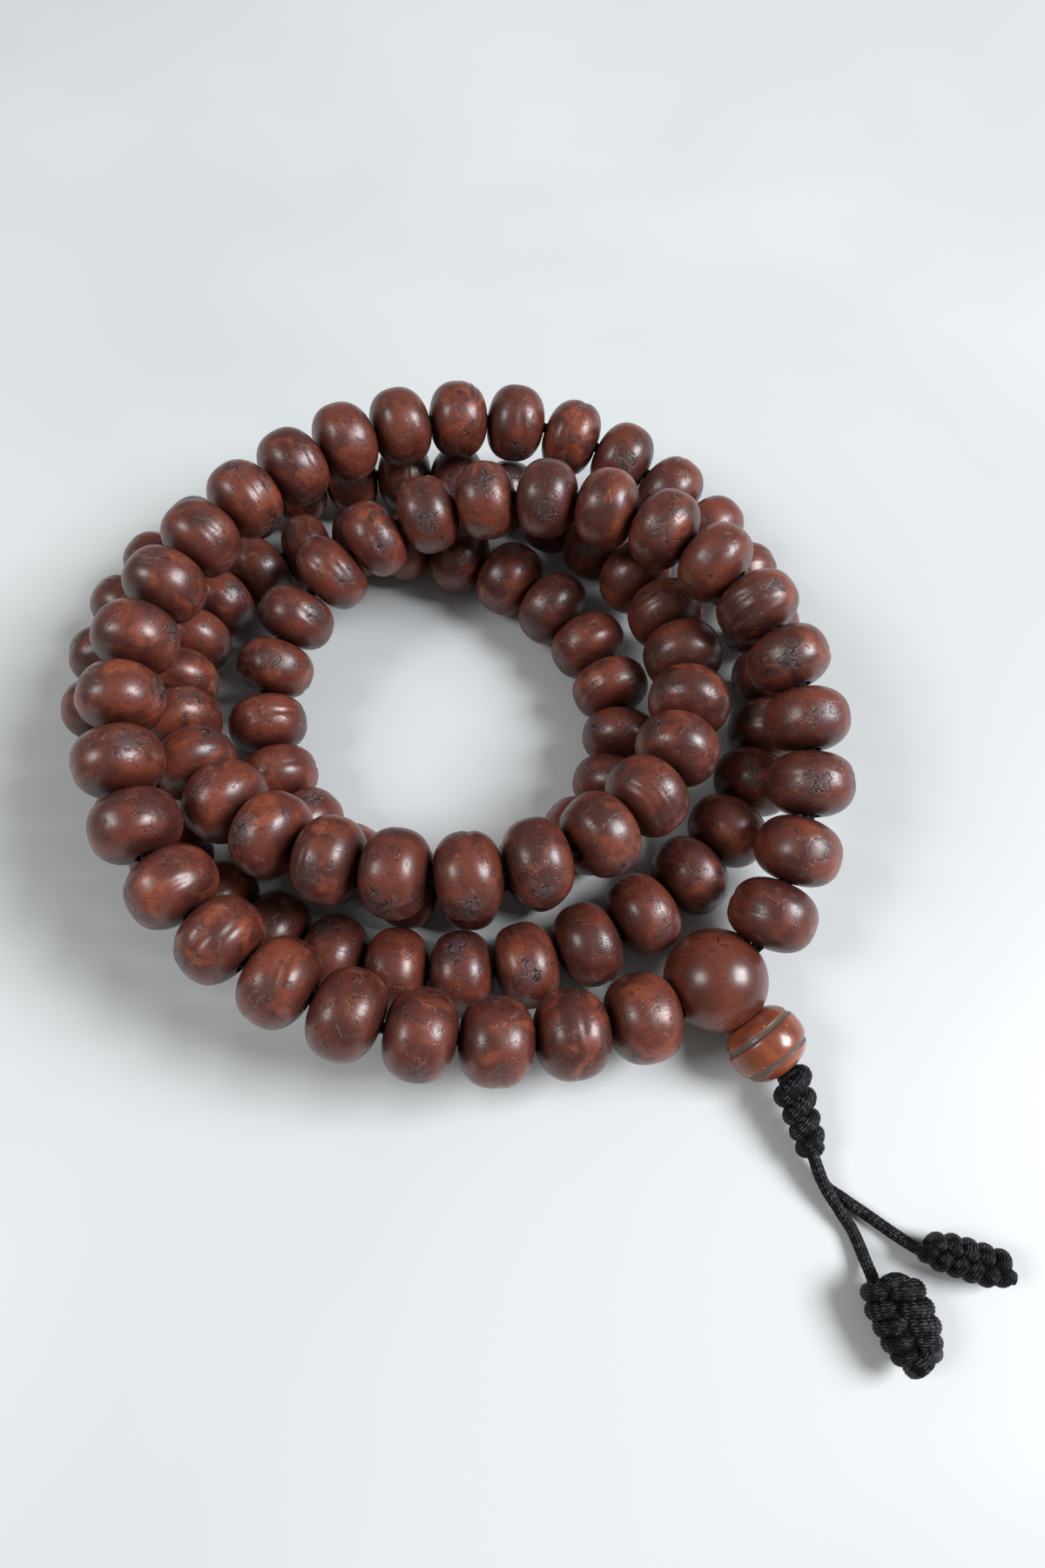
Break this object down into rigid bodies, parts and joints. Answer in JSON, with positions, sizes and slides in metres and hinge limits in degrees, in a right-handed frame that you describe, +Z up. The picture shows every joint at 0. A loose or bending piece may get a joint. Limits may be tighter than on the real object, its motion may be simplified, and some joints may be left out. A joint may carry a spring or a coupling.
{
  "type": "mala prayer beads",
  "caption": "Long closed string of barrel-shaped wooden prayer beads, coiled in overlapping turns, with a guru bead, a banded stupa bead and two knotted black cord tails.",
  "frame": {"origin": "on the table, in the middle of the coiled string's outline, without its free tails", "axes": "+Z up from the table; +X to the right and +Y away as seen from the tassel side, with the tails towards +X and -Y"},
  "size_m": [0.1162, 0.1257, 0.0253],
  "materials": {
    "bead_wood": "hand-polished satin seed wood, red-brown with darker bead ends and fine veins",
    "stupa_wood": "polished orange-brown wood with two dull carved bands",
    "cord_black": "black braided waxed cord"
  },
  "bodies": {
    "string": {"cord": "cord_black", "guru_bead": "bead_wood", "snake_knot": "cord_black", "tail_front": "cord_black", "tail_right": "cord_black"},
    "bead_pair_01": {"bead_pair_01": "bead_wood"},
    "bead_pair_02": {"bead_pair_02": "bead_wood"},
    "bead_pair_03": {"bead_pair_03": "bead_wood"},
    "bead_pair_04": {"bead_pair_04": "bead_wood"},
    "bead_pair_05": {"bead_pair_05": "bead_wood"},
    "bead_pair_06": {"bead_pair_06": "bead_wood"},
    "bead_pair_07": {"bead_pair_07": "bead_wood"},
    "bead_pair_08": {"bead_pair_08": "bead_wood"},
    "bead_pair_09": {"bead_pair_09": "bead_wood"},
    "bead_pair_10": {"bead_pair_10": "bead_wood"},
    "bead_pair_11": {"bead_pair_11": "bead_wood"},
    "bead_pair_12": {"bead_pair_12": "bead_wood"},
    "bead_pair_13": {"bead_pair_13": "bead_wood"},
    "bead_pair_14": {"bead_pair_14": "bead_wood"},
    "bead_pair_15": {"bead_pair_15": "bead_wood"},
    "bead_pair_16": {"bead_pair_16": "bead_wood"},
    "bead_pair_17": {"bead_pair_17": "bead_wood"},
    "bead_pair_18": {"bead_pair_18": "bead_wood"},
    "bead_pair_19": {"bead_pair_19": "bead_wood"},
    "bead_pair_20": {"bead_pair_20": "bead_wood"},
    "bead_pair_21": {"bead_pair_21": "bead_wood"},
    "bead_pair_22": {"bead_pair_22": "bead_wood"},
    "bead_pair_23": {"bead_pair_23": "bead_wood"},
    "bead_pair_24": {"bead_pair_24": "bead_wood"},
    "bead_pair_25": {"bead_pair_25": "bead_wood"},
    "bead_pair_26": {"bead_pair_26": "bead_wood"},
    "bead_pair_27": {"bead_pair_27": "bead_wood"},
    "bead_pair_28": {"bead_pair_28": "bead_wood"},
    "bead_pair_29": {"bead_pair_29": "bead_wood"},
    "bead_pair_30": {"bead_pair_30": "bead_wood"},
    "bead_pair_31": {"bead_pair_31": "bead_wood"},
    "bead_pair_32": {"bead_pair_32": "bead_wood"},
    "bead_pair_33": {"bead_pair_33": "bead_wood"},
    "bead_pair_34": {"bead_pair_34": "bead_wood"},
    "bead_pair_35": {"bead_pair_35": "bead_wood"},
    "bead_pair_36": {"bead_pair_36": "bead_wood"},
    "bead_pair_37": {"bead_pair_37": "bead_wood"},
    "bead_pair_38": {"bead_pair_38": "bead_wood"},
    "bead_pair_39": {"bead_pair_39": "bead_wood"},
    "bead_pair_40": {"bead_pair_40": "bead_wood"},
    "bead_pair_41": {"bead_pair_41": "bead_wood"},
    "bead_pair_42": {"bead_pair_42": "bead_wood"},
    "bead_pair_43": {"bead_pair_43": "bead_wood"},
    "bead_pair_44": {"bead_pair_44": "bead_wood"},
    "bead_pair_45": {"bead_pair_45": "bead_wood"},
    "bead_pair_46": {"bead_pair_46": "bead_wood"},
    "bead_pair_47": {"bead_pair_47": "bead_wood"},
    "bead_pair_48": {"bead_pair_48": "bead_wood"},
    "bead_pair_49": {"bead_pair_49": "bead_wood"},
    "bead_pair_50": {"bead_pair_50": "bead_wood"},
    "bead_pair_51": {"bead_pair_51": "bead_wood"},
    "bead_pair_52": {"bead_pair_52": "bead_wood"},
    "bead_pair_53": {"bead_pair_53": "bead_wood"},
    "bead_pair_54": {"bead_pair_54": "bead_wood"},
    "stupa_bead": {"stupa_bead": "stupa_wood"}
  },
  "joints": [
    {"name": "bead_pair_01_spin", "type": "hinge", "parent": "string", "child": "bead_pair_01", "pos_m": [0.02059, -0.03776, 0.00863], "axis": [-0.9549, -0.2457, 0.1668], "continuous": true},
    {"name": "bead_pair_02_spin", "type": "hinge", "parent": "string", "child": "bead_pair_02", "pos_m": [0.00359, -0.03965, 0.01158], "axis": [-0.9846, 0.0594, 0.1647], "continuous": true},
    {"name": "bead_pair_03_spin", "type": "hinge", "parent": "string", "child": "bead_pair_03", "pos_m": [-0.01242, -0.03577, 0.01415], "axis": [-0.904, 0.3962, 0.1609], "continuous": true},
    {"name": "bead_pair_04_spin", "type": "hinge", "parent": "string", "child": "bead_pair_04", "pos_m": [-0.02582, -0.02676, 0.01681], "axis": [-0.6944, 0.7009, 0.1629], "continuous": true},
    {"name": "bead_pair_05_spin", "type": "hinge", "parent": "string", "child": "bead_pair_05", "pos_m": [-0.03472, -0.01326, 0.01938], "axis": [-0.3422, 0.9333, 0.1086], "continuous": true},
    {"name": "bead_pair_06_spin", "type": "hinge", "parent": "string", "child": "bead_pair_06", "pos_m": [-0.03672, 0.00296, 0.02027], "axis": [0.0732, 0.9973, 0.0112], "continuous": true},
    {"name": "bead_pair_07_spin", "type": "hinge", "parent": "string", "child": "bead_pair_07", "pos_m": [-0.03237, 0.01879, 0.01974], "axis": [0.4218, 0.9052, -0.051], "continuous": true},
    {"name": "bead_pair_08_spin", "type": "hinge", "parent": "string", "child": "bead_pair_08", "pos_m": [-0.02301, 0.03238, 0.01861], "axis": [0.6926, 0.7172, -0.0774], "continuous": true},
    {"name": "bead_pair_09_spin", "type": "hinge", "parent": "string", "child": "bead_pair_09", "pos_m": [-0.00992, 0.04203, 0.01723], "axis": [0.8969, 0.4301, -0.1026], "continuous": true},
    {"name": "bead_pair_10_spin", "type": "hinge", "parent": "string", "child": "bead_pair_10", "pos_m": [0.00578, 0.04619, 0.01532], "axis": [0.9875, 0.0527, -0.1488], "continuous": true},
    {"name": "bead_pair_11_spin", "type": "hinge", "parent": "string", "child": "bead_pair_11", "pos_m": [0.02138, 0.0437, 0.01252], "axis": [0.9139, -0.3609, -0.1858], "continuous": true},
    {"name": "bead_pair_12_spin", "type": "hinge", "parent": "string", "child": "bead_pair_12", "pos_m": [0.03456, 0.03482, 0.00947], "axis": [0.6791, -0.7128, -0.1751], "continuous": true},
    {"name": "bead_pair_13_spin", "type": "hinge", "parent": "string", "child": "bead_pair_13", "pos_m": [0.04254, 0.02149, 0.00706], "axis": [0.3079, -0.9435, -0.1223], "continuous": true},
    {"name": "bead_pair_14_spin", "type": "hinge", "parent": "string", "child": "bead_pair_14", "pos_m": [0.044, 0.00589, 0.00572], "axis": [-0.1192, -0.9913, -0.0557], "continuous": true},
    {"name": "bead_pair_15_spin", "type": "hinge", "parent": "string", "child": "bead_pair_15", "pos_m": [0.03888, -0.00894, 0.00535], "axis": [-0.4957, -0.8684, -0.0135], "continuous": true},
    {"name": "bead_pair_16_spin", "type": "hinge", "parent": "string", "child": "bead_pair_16", "pos_m": [0.02872, -0.02088, 0.0053], "axis": [-0.7735, -0.6338, -0.0016], "continuous": true},
    {"name": "bead_pair_17_spin", "type": "hinge", "parent": "string", "child": "bead_pair_17", "pos_m": [0.01502, -0.0285, 0.0053], "axis": [-0.9481, -0.3179, 0], "continuous": true},
    {"name": "bead_pair_18_spin", "type": "hinge", "parent": "string", "child": "bead_pair_18", "pos_m": [-0.0005, -0.03068, 0.00531], "axis": [-0.9993, 0.0366, 0.0024], "continuous": true},
    {"name": "bead_pair_19_spin", "type": "hinge", "parent": "string", "child": "bead_pair_19", "pos_m": [-0.0158, -0.02737, 0.00537], "axis": [-0.93, 0.3674, 0.008], "continuous": true},
    {"name": "bead_pair_20_spin", "type": "hinge", "parent": "string", "child": "bead_pair_20", "pos_m": [-0.03003, -0.01901, 0.00556], "axis": [-0.7663, 0.6423, 0.0161], "continuous": true},
    {"name": "bead_pair_21_spin", "type": "hinge", "parent": "string", "child": "bead_pair_21", "pos_m": [-0.04082, -0.0064, 0.0059], "axis": [-0.4858, 0.8738, 0.0217], "continuous": true},
    {"name": "bead_pair_22_spin", "type": "hinge", "parent": "string", "child": "bead_pair_22", "pos_m": [-0.04541, 0.00864, 0.00625], "axis": [-0.0526, 0.9985, 0.0131], "continuous": true},
    {"name": "bead_pair_23_spin", "type": "hinge", "parent": "string", "child": "bead_pair_23", "pos_m": [-0.04243, 0.0241, 0.0063], "axis": [0.4144, 0.91, -0.0105], "continuous": true},
    {"name": "bead_pair_24_spin", "type": "hinge", "parent": "string", "child": "bead_pair_24", "pos_m": [-0.03273, 0.03649, 0.00593], "axis": [0.7735, 0.6333, -0.0265], "continuous": true},
    {"name": "bead_pair_25_spin", "type": "hinge", "parent": "string", "child": "bead_pair_25", "pos_m": [-0.01869, 0.04354, 0.00549], "axis": [0.9664, 0.2564, -0.0201], "continuous": true},
    {"name": "bead_pair_26_spin", "type": "hinge", "parent": "string", "child": "bead_pair_26", "pos_m": [-0.00301, 0.04437, 0.00531], "axis": [0.9894, -0.1453, 0.0036], "continuous": true},
    {"name": "bead_pair_27_spin", "type": "hinge", "parent": "string", "child": "bead_pair_27", "pos_m": [0.0118, 0.03906, 0.0056], "axis": [0.8579, -0.5105, 0.059], "continuous": true},
    {"name": "bead_pair_28_spin", "type": "hinge", "parent": "string", "child": "bead_pair_28", "pos_m": [0.02417, 0.0282, 0.00718], "axis": [0.6064, -0.7833, 0.1367], "continuous": true},
    {"name": "bead_pair_29_spin", "type": "hinge", "parent": "string", "child": "bead_pair_29", "pos_m": [0.03112, 0.0141, 0.00995], "axis": [0.2192, -0.9551, 0.1992], "continuous": true},
    {"name": "bead_pair_30_spin", "type": "hinge", "parent": "string", "child": "bead_pair_30", "pos_m": [0.03094, -0.00129, 0.01333], "axis": [-0.2753, -0.9413, 0.1954], "continuous": true},
    {"name": "bead_pair_31_spin", "type": "hinge", "parent": "string", "child": "bead_pair_31", "pos_m": [0.02275, -0.01452, 0.0159], "axis": [-0.731, -0.6708, 0.1254], "continuous": true},
    {"name": "bead_pair_32_spin", "type": "hinge", "parent": "string", "child": "bead_pair_32", "pos_m": [0.00873, -0.02166, 0.01714], "axis": [-0.9753, -0.2188, 0.0316], "continuous": true},
    {"name": "bead_pair_33_spin", "type": "hinge", "parent": "string", "child": "bead_pair_33", "pos_m": [-0.00756, -0.02132, 0.01688], "axis": [-0.9705, 0.2297, -0.0733], "continuous": true},
    {"name": "bead_pair_34_spin", "type": "hinge", "parent": "string", "child": "bead_pair_34", "pos_m": [-0.02161, -0.01448, 0.01484], "axis": [-0.7731, 0.605, -0.1905], "continuous": true},
    {"name": "bead_pair_35_spin", "type": "hinge", "parent": "string", "child": "bead_pair_35", "pos_m": [-0.03152, -0.00257, 0.01098], "axis": [-0.437, 0.8691, -0.2317], "continuous": true},
    {"name": "bead_pair_36_spin", "type": "hinge", "parent": "string", "child": "bead_pair_36", "pos_m": [-0.03454, 0.01123, 0.00799], "axis": [0.0851, 0.9806, -0.1764], "continuous": true},
    {"name": "bead_pair_37_spin", "type": "hinge", "parent": "string", "child": "bead_pair_37", "pos_m": [-0.02916, 0.02457, 0.00609], "axis": [0.6486, 0.7553, -0.0943], "continuous": true},
    {"name": "bead_pair_38_spin", "type": "hinge", "parent": "string", "child": "bead_pair_38", "pos_m": [-0.01672, 0.03199, 0.0054], "axis": [0.9694, 0.2439, -0.0283], "continuous": true},
    {"name": "bead_pair_39_spin", "type": "hinge", "parent": "string", "child": "bead_pair_39", "pos_m": [-0.0022, 0.03136, 0.00531], "axis": [0.9616, -0.2746, -0.0033], "continuous": true},
    {"name": "bead_pair_40_spin", "type": "hinge", "parent": "string", "child": "bead_pair_40", "pos_m": [0.01215, 0.02375, 0.0053], "axis": [0.7703, -0.6377, -0.0002], "continuous": true},
    {"name": "bead_pair_41_spin", "type": "hinge", "parent": "string", "child": "bead_pair_41", "pos_m": [0.02138, 0.01184, 0.0053], "axis": [0.3868, -0.9222, 0.0001], "continuous": true},
    {"name": "bead_pair_42_spin", "type": "hinge", "parent": "string", "child": "bead_pair_42", "pos_m": [0.02319, -0.00255, 0.0053], "axis": [-0.2184, -0.9759, 0.0014], "continuous": true},
    {"name": "bead_pair_43_spin", "type": "hinge", "parent": "string", "child": "bead_pair_43", "pos_m": [0.01529, -0.01536, 0.00534], "axis": [-0.7962, -0.605, 0], "continuous": true},
    {"name": "bead_pair_44_spin", "type": "hinge", "parent": "string", "child": "bead_pair_44", "pos_m": [0.00042, -0.01986, 0.0053], "axis": [-0.9992, 0.0407, 0.0011], "continuous": true},
    {"name": "bead_pair_45_spin", "type": "hinge", "parent": "string", "child": "bead_pair_45", "pos_m": [-0.01403, -0.01416, 0.00537], "axis": [-0.7677, 0.6404, 0.022], "continuous": true},
    {"name": "bead_pair_46_spin", "type": "hinge", "parent": "string", "child": "bead_pair_46", "pos_m": [-0.022, -0.00115, 0.00594], "axis": [-0.245, 0.9617, 0.1226], "continuous": true},
    {"name": "bead_pair_47_spin", "type": "hinge", "parent": "string", "child": "bead_pair_47", "pos_m": [-0.02108, 0.0135, 0.0089], "axis": [0.3489, 0.9031, 0.2502], "continuous": true},
    {"name": "bead_pair_48_spin", "type": "hinge", "parent": "string", "child": "bead_pair_48", "pos_m": [-0.01204, 0.02464, 0.01309], "axis": [0.7863, 0.5582, 0.2647], "continuous": true},
    {"name": "bead_pair_49_spin", "type": "hinge", "parent": "string", "child": "bead_pair_49", "pos_m": [0.00198, 0.02987, 0.01666], "axis": [0.9739, 0.14, 0.1786], "continuous": true},
    {"name": "bead_pair_50_spin", "type": "hinge", "parent": "string", "child": "bead_pair_50", "pos_m": [0.01801, 0.02896, 0.0186], "axis": [0.9632, -0.2576, 0.0768], "continuous": true},
    {"name": "bead_pair_51_spin", "type": "hinge", "parent": "string", "child": "bead_pair_51", "pos_m": [0.03241, 0.02173, 0.01909], "axis": [0.7751, -0.6315, -0.0217], "continuous": true},
    {"name": "bead_pair_52_spin", "type": "hinge", "parent": "string", "child": "bead_pair_52", "pos_m": [0.04213, 0.00931, 0.01792], "axis": [0.4277, -0.8949, -0.1275], "continuous": true},
    {"name": "bead_pair_53_spin", "type": "hinge", "parent": "string", "child": "bead_pair_53", "pos_m": [0.04561, -0.00587, 0.01515], "axis": [0.0059, -0.973, -0.2308], "continuous": true},
    {"name": "bead_pair_54_spin", "type": "hinge", "parent": "string", "child": "bead_pair_54", "pos_m": [0.04231, -0.02106, 0.01072], "axis": [-0.3944, -0.8699, -0.2963], "continuous": true},
    {"name": "stupa_bead_spin", "type": "hinge", "parent": "string", "child": "stupa_bead", "pos_m": [0.04016, -0.03997, 0.00477], "axis": [-0.6098, 0.7788, 0.147], "continuous": true}
  ]
}
